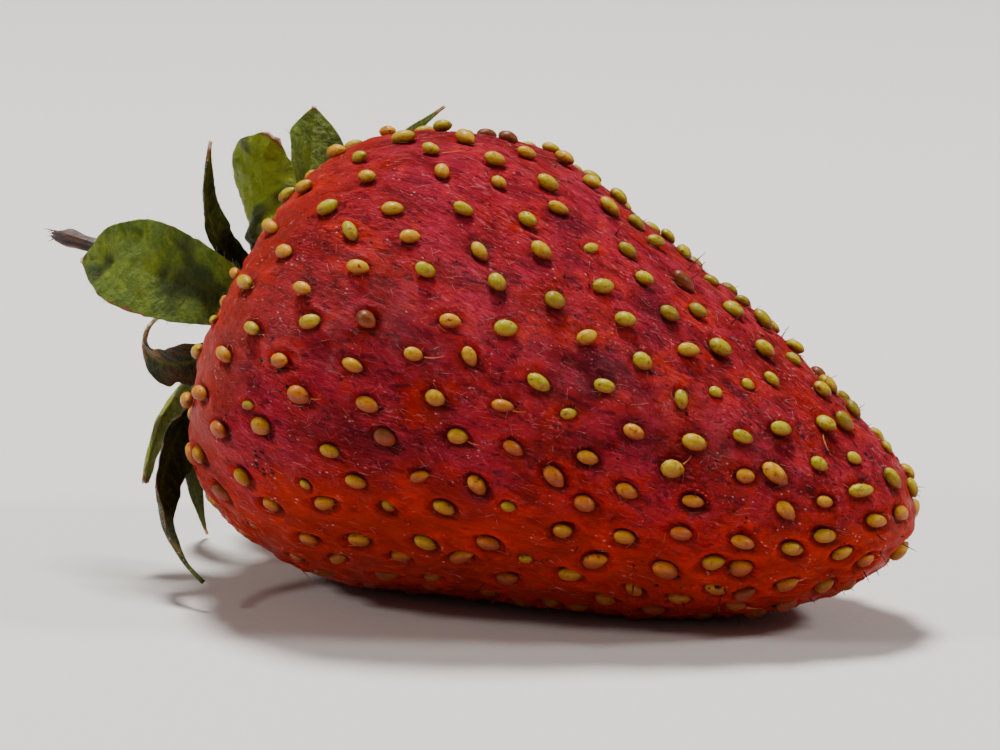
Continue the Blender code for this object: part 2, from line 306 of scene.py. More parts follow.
def discProfile():
    # (along, radius) of the calyx disc: a low cone with a rim, a neck and a back face
    c = calyxShape
    front = fruitShape["dimpleDepth"] - c["hubAlong"] - c["gap"]
    return np.array([(front, 0.0), (front, 0.6 * c["discRadius"]), (0.0, c["discRadius"]),
                     (-0.6, c["discRadius"]), (-0.9, c["neckRadius"]),
                     (-1.6, c["neckRadius"]), (-c["discBack"], 1.4 * c["stalkRadius"]),
                     (-c["discBack"], 0.0)])


def findHub():
    # The middle of the disc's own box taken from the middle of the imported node's box
    profile = discProfile()
    ends = [profile[:, :1] * along + sign * profile[:, 1:] * upwards for sign in (-1, 1)]
    ends = np.vstack(ends)
    low, high = (np.array(corner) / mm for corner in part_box("calyx_disc"))
    return 0.5 * (low + high) - 0.5 * (ends.min(axis=0) + ends.max(axis=0))


hub = findHub()
origin = hub - calyxShape["hubAlong"] * along
print("hub of the calyx at", hub.round(3))

fineProfile = fruitProfile(400, 800, 3000)
fineWay = np.append(0.0, np.cumsum(np.hypot(*np.diff(fineProfile, axis=0).T)))


def skinAt(way, around):
    # Point of the smooth skin at a distance along the profile and an angle around, with
    # its outward, forward (to the tip) and across directions from small steps
    def place(w, v):
        # On the outline at w, turned by v
        return skinPoint(np.interp(w, fineWay, fineProfile[:, 0]),
                         np.interp(w, fineWay, fineProfile[:, 1]), v)
    forward = unit(place(way + 0.05, around) - place(way - 0.05, around))
    across = unit(place(way, around + 0.001) - place(way, around - 0.001))
    outward = unit(np.cross(across, forward))
    return place(way, around), outward, forward, np.cross(forward, outward)


skinRelief = {"lumpHeight": 0.26, "lumpSize": 7.5, "swellHeight": 0.12, "swellSize": 2.8,
              "foldHeight": 0.12, "foldSize": 1.0, "foldStretch": 3.0}


def skinFolds(points):
    # Fine folds, about -1 to 1: lumps of two sizes, drawn out along the fruit
    r = skinRelief
    inFruit = np.stack([(points - origin) @ d for d in (along, sideways, upwards)], -1)
    folds = inFruit * (1.0 / r["foldStretch"], 1.0, 1.0)
    return lumpy(folds, r["foldSize"], 5) + 0.5 * lumpy(folds, 0.45 * r["foldSize"], 6)


def skinLift(points):
    # Height of the skin over the smooth shape: broad lumps, small swellings and the folds
    r = skinRelief
    inFruit = np.stack([(points - origin) @ d for d in (along, sideways, upwards)], -1)
    return (r["lumpHeight"] * lumpy(inFruit, r["lumpSize"], 3)
            + r["swellHeight"] * lumpy(inFruit, r["swellSize"], 4)
            + r["foldHeight"] * skinFolds(points))


seedLayout = {"spacingWide": 3.6, "spacingTip": 2.5, "spiralTurn": 137.508,
              "bareRadius": 6.5, "jitter": 0.38, "turn": 0.33, "tilt": 0.16,
              "sizeSpread": 0.08, "smallShare": 0.07, "smallSize": 0.68, "seed": 11}
seedShape = {"length": 1.42, "width": 0.97, "height": 0.86, "rings": 6, "sides": 10,
             "proud": 0.22, "sunk": -0.1, "seed": 41}


def seedPlaces():
    # One spiral with a fixed turn from seed to seed. The seed number grows with the area
    # of skin passed, over the area 0.5 sqrt(3) spacing² that each seed has to itself
    d = seedLayout
    dimpleSteps = 12
    profile = fruitProfile(dimpleSteps, 24, 90)
    step = np.hypot(*np.diff(profile, axis=0).T)
    ring = 0.5 * (profile[1:, 1] + profile[:-1, 1])
    middle = 0.5 * (profile[1:, 0] + profile[:-1, 0])
    share = np.clip(middle / fruitShape["length"], 0.0, 1.0) ** 2
    spacing = d["spacingWide"] + (d["spacingTip"] - d["spacingWide"]) * share
    passed = np.append(0.0, np.cumsum(tau * ring * step / (0.5 * sqrt(3.0) * spacing**2)))
    way = np.append(0.0, np.cumsum(step))
    inDimple = slice(dimpleSteps + 1)
    bare = np.interp(d["bareRadius"], profile[inDimple, 1], passed[inDimple])
    number = np.arange(int(bare) + 1, int(passed[-1]) + 1) - 0.5
    return np.interp(number, passed, way), number * radians(d["spiralTurn"])


def layOutSeeds():
    # Seeds of the spiral, each pushed a little off its place, with its own size, turn,
    # tilt and depth. Seeds on the underside sit deeper
    d = seedLayout
    rng = np.random.default_rng(d["seed"])
    way, around = seedPlaces()
    count = len(way)
    radius = np.interp(way, fineWay, fineProfile[:, 1])
    way = way + rng.normal(0.0, d["jitter"], count)
    around = around + rng.normal(0.0, d["jitter"], count) / np.maximum(radius, 3.0)
    way = np.clip(way, 0.0, fineWay[-1] - 1.2)
    base, outward, forward, across = skinAt(way, around)
    turn = rng.normal(0.0, d["turn"], count)[:, None]
    forward, across = (np.cos(turn) * forward + np.sin(turn) * across,
                       np.cos(turn) * across - np.sin(turn) * forward)
    tilt = rng.normal(0.0, d["tilt"], count)[:, None]
    sunk = rise(-outward[:, 2] + rng.normal(0.0, 0.22, count), -0.25, 0.75)
    size = np.clip(rng.normal(1.0, d["sizeSpread"], count), 0.85, 1.13)
    small = rng.random(count) < d["smallShare"]
    size = np.where(small, size * d["smallSize"], size)
    return {"way": way, "base": base + skinLift(base)[:, None] * outward,
            "outward": outward, "forward": forward, "across": across, "tilt": tilt,
            "sunk": sunk, "size": size, "small": small, "chance": rng.random(count),
            "glow": rng.random(count), "s": (base - origin) @ along}


seeds = layOutSeeds()
print("seeds:", len(seeds["way"]))


# The pit about a seed runs from q at its edge to q at its end, and the rim stands at q
# rimAt, with q the distance in seed half lengths and half widths. A seed that is quite
# sunk has the sunk depth and rim as well. The painted shade of the pit fades out from q
# shadeEdge to q shadeEnd, and further out on the seed's lower side as a painted shadow
pitShape = {"edge": 0.95, "end": 1.55, "depth": 0.10, "sunkDepth": 0.36,
            "rimAt": 2.1, "rimWidth": 0.5, "rim": 0.05, "sunkRim": 0.10,
            "shadeEdge": 0.85, "shadeEnd": 1.25, "haloReach": 3.0, "farOut": 3.0}


def nearSeeds(points):
    # For each point, the depth of the pits and rims of the seeds about it, the painted
    # shade of the pit, which reaches further beneath a seed as a painted shadow, and a halo
    # that is exp(-(q / reach)²)
    d = pitShape
    depth, paintedSeedShade, halo = (np.zeros(points.shape[:-1]) for _ in range(3))
    for n in range(len(seeds["way"])):
        away = points - seeds["base"][n]
        ahead = (away @ seeds["forward"][n]) / (0.5 * seedShape["length"])
        aside = (away @ seeds["across"][n]) / (0.5 * seedShape["width"])
        out = away @ seeds["outward"][n]
        q = np.hypot(ahead, aside) / seeds["size"][n]
        q = np.where(np.abs(out) < d["farOut"], q, 99.0)
        inside = 1.0 - rise(q, d["edge"], d["end"])
        sunk = seeds["sunk"][n]
        depth = depth - (d["depth"] + d["sunkDepth"] * sunk) * inside
        ring = np.exp(-((q - d["rimAt"]) / d["rimWidth"]) ** 2)
        depth = depth + (d["rim"] + d["sunkRim"] * sunk) * ring
        beneath = rise(-away[..., 2], -0.1, 0.75)
        # painted shade in the pit, and a painted shadow below the seed where beneath is
        # high
        dark = 1.0 - rise(q, d["shadeEdge"] + 0.2 * beneath, d["shadeEnd"] + 0.75 * beneath)
        paintedSeedShade = np.maximum(paintedSeedShade, dark * (0.35 + 0.25 * sunk + 0.5 * beneath))
        halo = np.maximum(halo, np.exp(-((q / d["haloReach"]) ** 2)) * seeds["glow"][n])
    return depth, paintedSeedShade, halo


fleshShape = {"rings": 234, "sides": 420, "lowBelow": 12.0, "lowNear": 8.5, "lowFade": 6.0,
              "lowWander": 2.5, "wanderSize": 5.0, "bruiseSize": 4.5, "bruiseDetail": 1.6}
fleshColours = {
    "crimson": (0.26, 0.0010, 0.004), "rose": (0.45, 0.011, 0.044),
    "emberAndRedBounce": (0.33, 0.010, 0.0002), "glow": (0.72, 0.020, 0.002),
    "mauve": (0.115, 0.003, 0.018), "darkStreak": (0.095, 0.001, 0.004),
    # paintedGlint: the colour of the painted glints
    "paleStreak": (0.74, 0.080, 0.135), "paintedGlint": (0.90, 0.42, 0.44),
    # paintedSeedShade: the colour of the painted shade in the seeds' pits and the painted
    # shadow below them
    "paintedSeedShade": (0.045, 0.002, 0.001), "speck": (0.010, 0.003, 0.004),
}


fleshGrain = {  # lumps to a millimetre of each pattern
    "tint": 0.20, "warm": 0.42, "streaks": 1.9, "fine": 5.5, "grain": 8.0,
    "paintedGlints": 3.4, "glintZones": 0.6, "specks": 1.7, "speckZones": 0.28,
}
fleshMarks = {  # (from, to) in the pattern's own values, then how strong a mark may be
    "rose": (0.40, 0.60), "halo": (0.30, 0.62), "warm": (0.54, 0.68, 0.6),
    "bruise": 0.8, "darkStreak": (0.50, 0.36, 0.8), "crease": 0.5,
    "paleStreak": (0.50, 0.66), "paintedGlint": (0.24, 0.12, 0.65), "glintZones": (0.54, 0.64),
    "paintedSeedShade": 0.82, "speck": (0.34, 0.26), "speckZones": (0.52, 0.61),
}


def fleshFinish():
    # Crimson and rose with an ember underside that is partly painted red bounce light, warm
    # patches and halos, then bruises, dark streaks with painted shade in the folds'
    # creases, pale streaks with a painted highlight on the folds' ridges, painted glints,
    # painted shade in the pits of the seeds with a painted shadow below them, and black
    # specks over it
    c, g, m = fleshColours, fleshGrain, fleshMarks
    finish, tree, shader, place = newFinish("skinOfTheFruit", {
        "Subsurface Weight": 0.22, "Subsurface Scale": 0.0011,
        "Subsurface Radius": (1.0, 0.15, 0.06), "Specular IOR Level": 0.09,
        "Coat Weight": 0.07, "Coat Roughness": 0.06})
    drawnOut = stretched(tree, place, (0.32, 1.0, 1.0))
    tint = noiseNode(tree, place, g["tint"], 5.0, 0.62, 0.4)
    streaks = noiseNode(tree, drawnOut, g["streaks"], 7.0, 0.68, 0.9)
    fine = noiseNode(tree, drawnOut, g["fine"], 5.0, 0.65, 0.5)
    grain = noiseNode(tree, place, g["grain"], 3.0, 0.6)
    low, halo, paintedSeedShade, bruise, crease, ridgeHighlight = (
        attribute(tree, n) for n in ("low", "halo", "paintedSeedShade", "bruise", "crease", "ridgeHighlight"))

    colour = mixColours(tree, between(tree, tint, *m["rose"]), c["crimson"], c["rose"])
    # the orange-red underside and calyx end: partly the fruit's own colour, partly painted
    # red bounce light
    colour = mixColours(tree, low, colour, c["emberAndRedBounce"])
    haloShare = times(tree, halo, between(tree, streaks, *m["halo"]))
    colour = mixColours(tree, haloShare, colour, c["glow"])
    warm = noiseNode(tree, place, g["warm"], 5.0, 0.65, 0.5)
    warmShare = times(tree, between(tree, warm, *m["warm"][:2]), m["warm"][2])
    colour = mixColours(tree, warmShare, colour, c["glow"])
    colour = mixColours(tree, times(tree, bruise, m["bruise"]), colour, c["mauve"])
    matte = mathNode(tree, "SUBTRACT", 1.0, times(tree, low, 0.8))
    darkShare = times(tree, between(tree, streaks, *m["darkStreak"][:2]),
                      times(tree, matte, m["darkStreak"][2]))
    colour = mixColours(tree, darkShare, colour, c["darkStreak"])
    # painted shade in the creases of the folds, in the dark streaks' colour
    colour = mixColours(tree, times(tree, crease, m["crease"]), colour, c["darkStreak"])
    paleShare = times(tree, between(tree, fine, *m["paleStreak"]), matte)
    # pale fibre streaks, brighter on the fold ridges as a painted highlight
    paleShare = times(tree, paleShare, plus(tree, times(tree, ridgeHighlight, 0.6), 0.35))
    colour = mixColours(tree, paleShare, colour, c["paleStreak"])
    # painted glints: small pale pink dots in patches, standing in for highlights
    cells = addNode(tree, "TexVoronoi", {"Vector": stretched(tree, place, (0.55, 1.0, 1.0)),
                                         "Scale": g["paintedGlints"]}, feature="F1")
    glintSpot = between(tree, cells.outputs["Distance"], *m["paintedGlint"][:2])
    glintZones = noiseNode(tree, place, g["glintZones"], 3.0)
    glintShare = times(tree, glintSpot, between(tree, glintZones, *m["glintZones"]))
    colour = mixColours(tree, times(tree, glintShare, m["paintedGlint"][2]), colour, c["paintedGlint"])
    # painted shade in the seeds' pits and a painted shadow below each seed
    colour = mixColours(tree, times(tree, paintedSeedShade, m["paintedSeedShade"]), colour, c["paintedSeedShade"])
    dots = addNode(tree, "TexVoronoi", {"Vector": stretched(tree, place, (0.7, 1.0, 1.0)),
                                        "Scale": g["specks"]}, feature="F1")
    ragged = plus(tree, dots.outputs["Distance"], times(tree, grain, 0.35))
    speckZones = noiseNode(tree, place, g["speckZones"], 3.0, 0.6)
    speckShare = times(tree, between(tree, ragged, *m["speck"]),
                       between(tree, speckZones, *m["speckZones"]))
    colour = mixColours(tree, speckShare, colour, c["speck"])
    tree.links.new(colour, shader.inputs["Base Color"])

    rough = mathNode(tree, "SUBTRACT", scaled(tree, grain, 0.28, 0.34),
                     times(tree, low, 0.10), clamp=True)
    tree.links.new(rough, shader.inputs["Roughness"])

    heights = plus(tree, times(tree, streaks, 1.0), times(tree, fine, 0.55))
    heights = plus(tree, heights, times(tree, grain, 0.22))
    heights = times(tree, heights, scaled(tree, low, -0.55, 1.0))  # softer underneath
    normal = bumpNode(tree, heights, 0.7)
    tree.links.new(normal, shader.inputs["Normal"])
    tree.links.new(normal, shader.inputs["Coat Normal"])
    return finish


def makeFlesh():
    # Rings of points at equal steps along the profile, each pushed out along the skin's
    # outward direction by its relief and by the pits and rims of the seeds. The values
    # for its colours: low on the underside and about the calyx, partly painted red bounce
    # light, the painted shade of the seeds' pits and the painted shadow below the seeds,
    # bruise in patches on top, crease for painted shade in the folds and ridgeHighlight for
    # a painted highlight on them
    d = fleshShape
    way = (np.arange(d["rings"]) + 0.5) / d["rings"] * fineWay[-1]
    around = np.arange(d["sides"]) / d["sides"] * tau
    base, outward, _, _ = skinAt(way[:, None], around[None, :])
    lift = skinLift(base)
    depth, paintedSeedShade, halo = nearSeeds(base + lift[..., None] * outward)
    points = base + (lift + depth)[..., None] * outward
    points = aboveTable(points, 0.01)
    s = (base - origin) @ along
    wander = d["lowWander"] * lumpy(base, d["wanderSize"], 31)
    # low: partly the fruit's own orange-red, partly painted red bounce light on the
    # underside
    low = np.maximum(rise(d["lowBelow"] - base[..., 2] + wander, 0.0, d["lowFade"]),
                     rise(d["lowNear"] - s + wander, 0.0, d["lowFade"]) * 0.9)
    patches = lumpy(base, d["bruiseSize"], 32) + 0.5 * lumpy(base, d["bruiseDetail"], 33)
    onTop = rise(base[..., 2] - 0.25 * (fruitShape["length"] - s), 0.0, 8.0)
    bruise = rise(patches, 0.0, 0.75) * onTop * rise(s, 4.0, 16.0)
    bruise = bruise * (1.0 - 0.8 * rise(s, 33.0, 42.0))  # fewer near the tip
    folds = skinFolds(base)
    # crease: painted shade in the folds' troughs. ridgeHighlight: a painted highlight on
    # their tops
    crease = rise(-folds, 0.05, 0.75) * (1.0 - 0.5 * low)
    ridgeHighlight = rise(folds, 0.25, 0.95) * (1.0 - 0.8 * low)
    values = {"low": low, "paintedSeedShade": paintedSeedShade, "halo": halo, "bruise": bruise, "crease": crease,
              "ridgeHighlight": ridgeHighlight}
    values = {label: withEnds(value[None]) for label, value in values.items()}
    return makePiece("flesh", closedEnds(points[None]), d["rings"], d["sides"],
                     fleshFinish(), values, "fruit")


makeFlesh()


seedColours = {
    "olive": (0.23, 0.155, 0.001), "lime": (0.45, 0.385, 0.001),
    "gold": (0.64, 0.29, 0.001), "tan": (0.56, 0.14, 0.008), "brown": (0.08, 0.022, 0.004),
    # brownMottleAndShade: the seeds' own orange-brown mottles, and their painted shade
    "brownMottleAndShade": (0.22, 0.020, 0.0005), "point": (0.06, 0.010, 0.002),
}


# Where along the seeds' tone, from 0 to 1, each colour stands. Then the plain seed's tone,
# how much greener one on top near the tip is, how far chance moves a tone, the tones of
# dried seeds and of small ones, and the share of seeds that isn't dried
seedTones = {"olive": 0.0, "lime": 0.3, "gold": 0.62, "tan": 0.85, "brown": 1.0}
seedToneRules = {"plain": 0.66, "greener": 0.42, "byChance": 0.42, "dried": 0.97,
                 "small": 0.34, "undried": 0.965}


def seedFinish():
    # The colour of the seed's tone, with orange-brown mottles, the same orange-brown as
    # painted shade on its lower half and where it meets the skin, dark grain lines and a
    # dark point
    c = seedColours
    finish, tree, shader, place = newFinish("seedCoat", {
        "Subsurface Weight": 0.12, "Subsurface Scale": 0.0004,
        "Subsurface Radius": (1.0, 0.6, 0.2), "Specular IOR Level": 0.26,
        "Coat Weight": 0.10, "Coat Roughness": 0.12})
    tone, paintedShadeBelow, point = (attribute(tree, n) for n in ("tone", "paintedShadeBelow", "point"))
    ramp = addNode(tree, "ValToRGB", {"Fac": tone})
    ramp.color_ramp.elements.remove(ramp.color_ramp.elements[1])
    ramp.color_ramp.elements[0].color = (*c["olive"], 1.0)
    for label, position in list(seedTones.items())[1:]:
        ramp.color_ramp.elements.new(position).color = (*c[label], 1.0)
    mottle = noiseNode(tree, place, 2.6, 4.0, 0.6)
    grain = noiseNode(tree, stretched(tree, place, (0.4, 1.0, 1.0)), 9.0, 3.0, 0.6)
    colour = mixColours(tree, between(tree, mottle, 0.56, 0.72), ramp.outputs[0],
                        c["brownMottleAndShade"])
    # painted shade on the lower half and the base of the seed
    colour = mixColours(tree, paintedShadeBelow, colour, c["brownMottleAndShade"])
    colour = mixColours(tree, times(tree, between(tree, grain, 0.5, 0.3), 0.35), colour,
                        c["point"])
    colour = mixColours(tree, point, colour, c["point"])
    tree.links.new(colour, shader.inputs["Base Color"])
    tree.links.new(scaled(tree, grain, 0.3, 0.25), shader.inputs["Roughness"])
    tree.links.new(bumpNode(tree, grain, 0.05), shader.inputs["Normal"])
    return finish


def makeSeeds():
    # An egg: radius 2 sqrt(w (1 - w)) (1.07 - 0.18 w) along its length, w from 0 at the
    # blunt end to 1 at the point, a little flattened against the skin. Its tone is greener
    # on top and towards the tip, and paintedShadeBelow marks painted shade on the half that
    # faces down, next to the skin, and over all of a seed on the fruit's underside
    d = seedShape
    w = 0.5 - 0.5 * np.cos((np.arange(d["rings"]) + 0.75) / (d["rings"] + 0.5) * pi)
    angle = np.arange(d["sides"]) / d["sides"] * tau
    radius = 2.0 * np.sqrt(w * (1.0 - w)) * (1.07 - 0.18 * w)
    lengthwise = np.concatenate([[-0.5], (w - 0.5).repeat(d["sides"]), [0.53]])
    beside = np.concatenate([[0.0], (0.5 * radius[:, None] * np.cos(angle)).ravel(), [0.0]])
    above = np.concatenate([[0.0], (0.5 * radius[:, None] * np.sin(angle)).ravel(), [0.0]])
    rng = np.random.default_rng(d["seed"])
    count = len(seeds["way"])
    size = seeds["size"]
    length = d["length"] * size * rng.normal(1.0, 0.06, count)
    width = d["width"] * size * rng.normal(1.0, 0.07, count)
    height = d["height"] * size
    tilt = seeds["tilt"]
    forward = np.cos(tilt) * seeds["forward"] + np.sin(tilt) * seeds["outward"]
    outward = np.cos(tilt) * seeds["outward"] - np.sin(tilt) * seeds["forward"]
    level = d["proud"] + (d["sunk"] - d["proud"]) * seeds["sunk"]
    level = level + rng.normal(0.0, 0.05, count) - 0.15 * seeds["small"]
    middle = seeds["base"] + level[:, None] * seeds["outward"]
    points = (middle[:, None]
              + (length[:, None] * lengthwise)[..., None] * forward[:, None]
              + (width[:, None] * beside)[..., None] * seeds["across"][:, None]
              + (height[:, None] * above)[..., None] * outward[:, None])
    points = aboveTable(points)
    upper = rise(seeds["outward"][:, 2], -0.1, 0.7)
    rightwards = rise(seeds["s"], 4.0, 26.0)
    chance = seeds["chance"]
    rules = seedToneRules
    greener = rules["greener"] * upper * (0.45 + 0.55 * rightwards)
    tone = rules["plain"] - greener + rules["byChance"] * (chance - 0.5)
    tone = np.where(chance > rules["undried"], rules["dried"], tone)
    tone = np.where(seeds["small"], rules["small"], tone)
    # painted shade on each seed's lower half, at its edge against the skin, and over all of
    # a seed that faces down
    below = (middle[:, None, 2] - points[..., 2]) / (0.5 * d["height"])
    paintedShadeBelow = rise(below - 0.35 * upper[:, None], -0.7, 0.3)
    paintedShadeBelow = np.maximum(paintedShadeBelow, rise(-above, -0.14, 0.26))
    paintedShadeBelow = paintedShadeBelow * (0.75 + 0.25 * chance[:, None])
    paintedShadeBelow = np.maximum(paintedShadeBelow, 0.9 * rise(-seeds["outward"][:, 2], 0.5, 0.85)[:, None])
    point = rise(lengthwise, 0.40, 0.56) * (chance[:, None] < 0.6) * 0.9
    values = {"tone": tone[:, None], "paintedShadeBelow": paintedShadeBelow, "point": point}
    return makePiece("seeds", points, d["rings"], d["sides"], seedFinish(),
                     values)


makeSeeds()


def hairPoints(roots, heading, bendTo, length, radius, curl, rings=4, sides=3):
    # A hair starts at its root, goes w of its length along its heading and curl w² of
    # its length towards bendTo, with w from 0 to 1. Its radius falls off as 1 - 0.75 w
    w = np.linspace(0.0, 1.0, rings)[None, :, None]
    heading, bendTo = heading[:, None], bendTo[:, None]
    path = roots[:, None] + length[:, None, None] * (w * heading
                                                     + curl[:, None, None] * w**2 * bendTo)
    tangent = unit(heading + 2.0 * curl[:, None, None] * w * bendTo)
    binormal = unit(np.cross(heading, bendTo))
    normal = np.cross(binormal, tangent)
    angle = np.arange(sides) / sides * tau
    reach = radius[:, None, None, None] * (1.0 - 0.75 * w[..., None])
    ring = (np.cos(angle)[:, None] * normal[:, :, None]
            + np.sin(angle)[:, None] * binormal[:, :, None])
    return closedEnds(path[:, :, None] + reach * ring)


def scatterOnSkin(rng, count):
    # Even over the skin: a place along the profile is kept as often as its ring is long
    way = rng.uniform(0.5, fineWay[-1] - 0.3, count * 3)
    ring = np.interp(way, fineWay, fineProfile[:, 1]) / fruitShape["widestRadius"]
    way = way[rng.random(count * 3) < ring][:count]
    base, outward, forward, across = skinAt(way, rng.uniform(0.0, tau, len(way)))
    base = base + skinLift(base)[:, None] * outward
    return way, base, outward, forward, across


def plainFinish(name, colour, second, settings):
    # Two colours mixed by noise, for threads, hairs and crumbs
    finish, tree, shader, place = newFinish(name, settings)
    mottle = noiseNode(tree, place, 1.3, 3.0, 0.6)
    tree.links.new(mixColours(tree, between(tree, mottle, 0.4, 0.62), colour, second),
                   shader.inputs["Base Color"])
    tree.links.new(scaled(tree, mottle, 0.3, 0.3), shader.inputs["Roughness"])
    tree.links.new(bumpNode(tree, noiseNode(tree, place, 9.0, 2.0), 0.02),
                   shader.inputs["Normal"])
    return finish


fuzzShape = {"count": 3600, "shortest": 0.3, "longest": 0.9, "radius": 0.010, "turn": 0.6,
             "lift": 0.12, "curl": 0.35, "rings": 4, "sides": 3, "seed": 51,
             "colours": ((0.60, 0.16, 0.15), (0.85, 0.42, 0.40))}
styleShape = {"count": 26, "length": 1.1, "radius": 0.045, "turn": 0.8, "rings": 7,
              "sides": 6, "seed": 52, "colours": ((0.55, 0.12, 0.02), (0.75, 0.32, 0.10))}
stubShape = {"count": 260, "length": 0.9, "radius": 0.055, "lean": 0.4, "rings": 5,
             "sides": 5, "seed": 53,
             "colours": ((0.05, 0.003, 0.002), (0.20, 0.008, 0.005))}


def makeFuzz():
    # Short pale hairs that lie on the skin, mostly lengthwise
    d = fuzzShape
    rng = np.random.default_rng(d["seed"])
    _, base, outward, forward, across = scatterOnSkin(rng, d["count"])
    count = len(base)
    turn = rng.normal(0.0, d["turn"], count)[:, None]
    flat = np.cos(turn) * forward + np.sin(turn) * across
    heading = unit(flat + d["lift"] * (1.0 + rng.random(count))[:, None] * outward)
    leftOrRight = rng.choice([-1.0, 1.0], count)[:, None]
    bendTo = np.cross(outward, flat) * leftOrRight - 0.3 * outward
    length = rng.uniform(d["shortest"], d["longest"], count)
    points = hairPoints(base + 0.02 * outward, heading, bendTo, length,
                        np.full(count, d["radius"]), rng.uniform(0.0, d["curl"], count),
                        d["rings"], d["sides"])
    finish = plainFinish("fuzz", *d["colours"], {"Coat Weight": 0.3})
    return makePiece("fuzz", aboveTable(points), d["rings"], d["sides"], finish)


def makeStyles():
    # Dried styles by a few of the seeds: thin curved threads from the seed's edge
    d = styleShape
    rng = np.random.default_rng(d["seed"])
    chosen = rng.choice(len(seeds["way"]), d["count"], replace=False)
    outward, forward, across = (seeds[k][chosen] for k in ("outward", "forward", "across"))
    turn = rng.normal(0.0, d["turn"], d["count"])[:, None]
    flat = np.cos(turn) * forward + np.sin(turn) * across
    root = seeds["base"][chosen] + 0.7 * flat + 0.02 * outward
    heading = unit(flat + rng.uniform(0.1, 0.6, (d["count"], 1)) * outward)
    bendTo = unit(np.cross(outward, flat) - 0.35 * outward)
    length = d["length"] * rng.uniform(0.6, 1.2, d["count"])
    points = hairPoints(root, heading, bendTo, length, np.full(d["count"], d["radius"]),
                        rng.uniform(0.2, 0.7, d["count"]), d["rings"], d["sides"])
    finish = plainFinish("driedStyle", *d["colours"],
                         {"Subsurface Weight": 0.1, "Subsurface Scale": 0.0003})
    return makePiece("styles", aboveTable(points), d["rings"], d["sides"], finish)


def makeStubs():
    # Short dark stubs that stand up from the skin, most of them towards the tip
    d = stubShape
    rng = np.random.default_rng(d["seed"])
    way, base, outward, forward, across = scatterOnSkin(rng, d["count"] * 3)
    keep = rng.random(len(way)) < rise(way, 20.0, 52.0)
    base, outward, forward, across = (v[keep] for v in (base, outward, forward, across))
    count = len(base)
    ahead, aside = (rng.normal(middle, d["lean"], (count, 1)) for middle in (0.1, 0.0))
    heading = unit(outward + (forward * ahead + across * aside))
    bendTo = unit(np.cross(heading, forward) + 0.4 * across)
    points = hairPoints(base - 0.05 * outward, heading, bendTo,
                        d["length"] * rng.uniform(0.4, 1.3, count),
                        np.full(count, d["radius"]), rng.uniform(0.0, 0.4, count),
                        d["rings"], d["sides"])
    finish = plainFinish("darkStub", *d["colours"], {"Coat Weight": 0.1})
    return makePiece("stubs", aboveTable(points), d["rings"], d["sides"], finish)


speckShape = {"clusters": 46, "inCluster": 7, "spread": 0.55, "smallest": 0.06,
              "largest": 0.2, "rings": 4, "sides": 7, "seed": 54,
              "colours": ((0.010, 0.002, 0.002), (0.03, 0.004, 0.003))}


def makeSpecks():
    # Clusters of low black crumbs: flattened round bodies with uneven outlines
    d = speckShape
    rng = np.random.default_rng(d["seed"])
    number = rng.integers(0, d["clusters"], d["clusters"] * d["inCluster"])
    centreWay = rng.uniform(6.0, fineWay[-1] - 2.0, d["clusters"])
    centreAround = rng.uniform(0.0, tau, d["clusters"])
    spread = rng.normal(0.0, d["spread"], (len(number), 2))
    way = centreWay[number] + spread[:, 0]
    around = centreAround[number] + spread[:, 1] / 10.0
    base, outward, forward, across = skinAt(way, around)
    base = base + skinLift(base)[:, None] * outward
    rings, sides = d["rings"], d["sides"]
    w = (np.arange(rings) + 0.7) / (rings + 0.4)
    angle = np.arange(sides) / sides * tau
    size = rng.uniform(d["smallest"], d["largest"], (len(number), 1, 1))
    wobble = 1.0 + rng.uniform(-0.35, 0.35, (len(number), rings, sides))
    flat = size * np.sin(pi * w)[:, None] * wobble
    up = size * (0.5 * np.cos(pi * w))[:, None] * wobble
    points = (base[:, None, None]
              + (flat * np.cos(angle))[..., None] * forward[:, None, None]
              + (0.7 * flat * np.sin(angle))[..., None] * across[:, None, None]
              + (up - 0.01)[..., None] * outward[:, None, None])
    finish = plainFinish("blackCrumb", *d["colours"], {"Specular IOR Level": 0.2})
    return makePiece("specks", closedEnds(aboveTable(points)), rings, sides, finish)


makeFuzz()
makeStyles()
makeStubs()
makeSpecks()


# Where the two rings of leaves start: out from the hub, and back from it
whorls = {"sepal": {"radius": 2.6, "back": 0.4}, "bractlet": {"radius": 2.1, "back": 1.1}}
blades = {
    "broad": {"base": 0.3, "widest": 0.55, "power": 2.2, "taper": 1.0},
    "narrow": {"base": 0.32, "widest": 0.42, "power": 1.7, "taper": 1.0},
    "tail": {"base": 0.3, "widest": 0.4, "power": 1.0, "taper": 1.4},
    "spear": {"base": 0.5, "widest": 0.32, "power": 1.3, "taper": 1.0},
}
leafGrid = {"rings": 150, "sides": 84, "thickness": 0.26, "edgeThinning": 0.6}
# In millimetres: the step and width of the side veins, the width of the midrib, how deep
# the veins lie, the height of the wavy edge, and the larger and smaller lumps of the
# edge's notches, the quilting and the crumpling, with the lumps of a cut-off tip. Then
# how far a side vein runs on for each millimetre out, and its strength next to the midrib
leafRelief = {
    "veinStep": 1.25, "veinWidth": 0.13, "midribWidth": 0.16, "veinDepth": 0.09,
    "waveHeight": 0.10, "notches": (0.9, 0.35), "quilts": (0.75, 0.4),
    "crumples": (2.3, 1.1), "tipLumps": 0.45, "veinSlant": 1.15, "sideVeinShare": 0.6,
}

